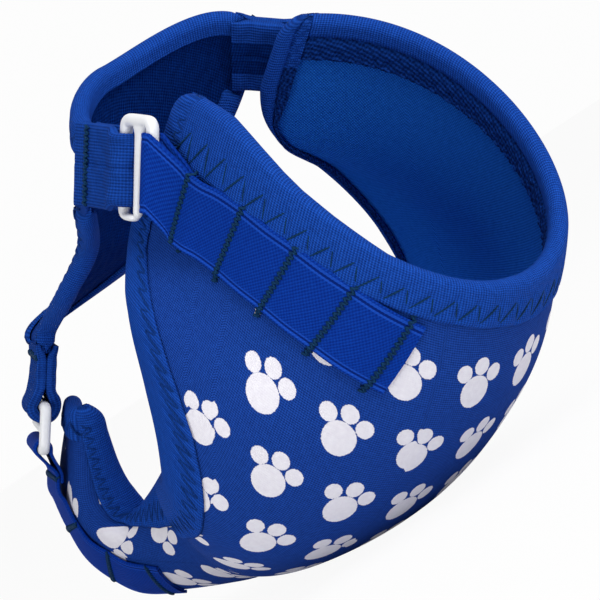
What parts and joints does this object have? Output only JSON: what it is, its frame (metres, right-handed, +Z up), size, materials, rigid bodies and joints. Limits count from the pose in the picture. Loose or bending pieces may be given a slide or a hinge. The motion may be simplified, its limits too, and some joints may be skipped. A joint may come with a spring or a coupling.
{
  "type": "hook-on pet recovery garment",
  "caption": "Soft neoprene pet garment with bound waist and leg openings, closed by a T-shaped back strap whose plastic hooks grip loops of elastic tape.",
  "frame": {"origin": "middle of the footprint, at the flattened belly that the garment rests on", "axes": "+X towards the front waist edge, +Y towards the far side, +Z up"},
  "size_m": [0.2395, 0.168, 0.1824],
  "materials": {
    "cup_cloth": "printed knit-faced neoprene",
    "strap_cloth": "knit-faced neoprene",
    "lining": "brushed jersey",
    "binding": "folded rib jersey",
    "elastic": "woven elastic tape",
    "thread": "polyester thread",
    "hook_plastic": "moulded acetal"
  },
  "bodies": {
    "cup": {"cup_panel": "cup_cloth", "cup_lining": "lining", "waist_binding": "binding", "near_leg_binding": "binding", "far_leg_binding": "binding", "tail_tip_binding": "binding", "near_elastic": "elastic", "far_elastic": "elastic", "tail_elastic": "elastic", "near_bar_tacks": "thread", "far_bar_tacks": "thread", "tail_bar_tacks": "thread"},
    "tail_hook": {"tail_hook": "hook_plastic"},
    "strap": {"strap_panel": "strap_cloth", "strap_lining": "lining", "strap_waist_binding": "binding", "strap_near_leg_binding": "binding", "strap_far_leg_binding": "binding", "near_strap_loop": "strap_cloth", "far_strap_loop": "strap_cloth", "tail_strap_loop": "strap_cloth", "near_loop_stitches": "thread", "far_loop_stitches": "thread", "tail_loop_stitches": "thread"},
    "near_hook": {"near_hook": "hook_plastic"},
    "far_hook": {"far_hook": "hook_plastic"}
  },
  "joints": [
    {"name": "tail_hook_turn", "type": "hinge", "parent": "cup", "child": "tail_hook", "pos_m": [-0.0937, -0.01106, 0.08741], "axis": [0.7012, -0.6956, -0.1566], "range_deg": [0, 25], "deforming": ["tail_elastic", "near_elastic", "far_elastic"]},
    {"name": "strap_swing", "type": "hinge", "parent": "tail_hook", "child": "strap", "pos_m": [-0.08621, -0.00623, 0.09947], "axis": [0.7012, -0.6956, -0.1566], "range_deg": [0, 95], "deforming": ["near_elastic", "far_elastic"]},
    {"name": "near_hook_turn", "type": "hinge", "parent": "strap", "child": "near_hook", "pos_m": [0.04178, -0.04879, 0.14556], "axis": [-0.5276, -0.2704, -0.8053], "range_deg": [0, 60], "deforming": ["near_elastic"]},
    {"name": "far_hook_turn", "type": "hinge", "parent": "strap", "child": "far_hook", "pos_m": [0.05077, 0.05328, 0.14849], "axis": [0.7075, -0.1656, 0.687], "range_deg": [0, 60], "deforming": ["far_elastic"]}
  ]
}
